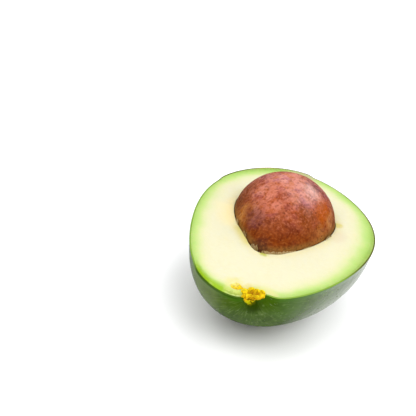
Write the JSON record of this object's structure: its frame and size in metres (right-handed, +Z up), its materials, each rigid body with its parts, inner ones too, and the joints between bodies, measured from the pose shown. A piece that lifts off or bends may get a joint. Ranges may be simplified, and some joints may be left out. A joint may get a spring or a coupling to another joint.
{
  "type": "avocado half with seed",
  "caption": "Fresh green-skinned avocado half, cut lengthwise, with pale flesh, thin peel, its round brown seed in place and the dried stem plug at its narrow end; lies on a small flat spot.",
  "frame": {"origin": "on the plane of the flat spot that the half lies on, under the middle of its outline seen from above", "axes": "+Z up, out of the level cut face; +Y along the fruit towards its blossom end, so the stem end points along -Y; +X across the fruit"},
  "size_m": [0.0708, 0.101, 0.0515],
  "materials": {
    "skin": "satin",
    "flesh": "satin",
    "seed": "satin",
    "stem_plug": "matte"
  },
  "bodies": {
    "root": {"skin": "skin", "flesh": "flesh", "seed": "seed", "stem_plug": "stem_plug"}
  },
  "joints": []
}
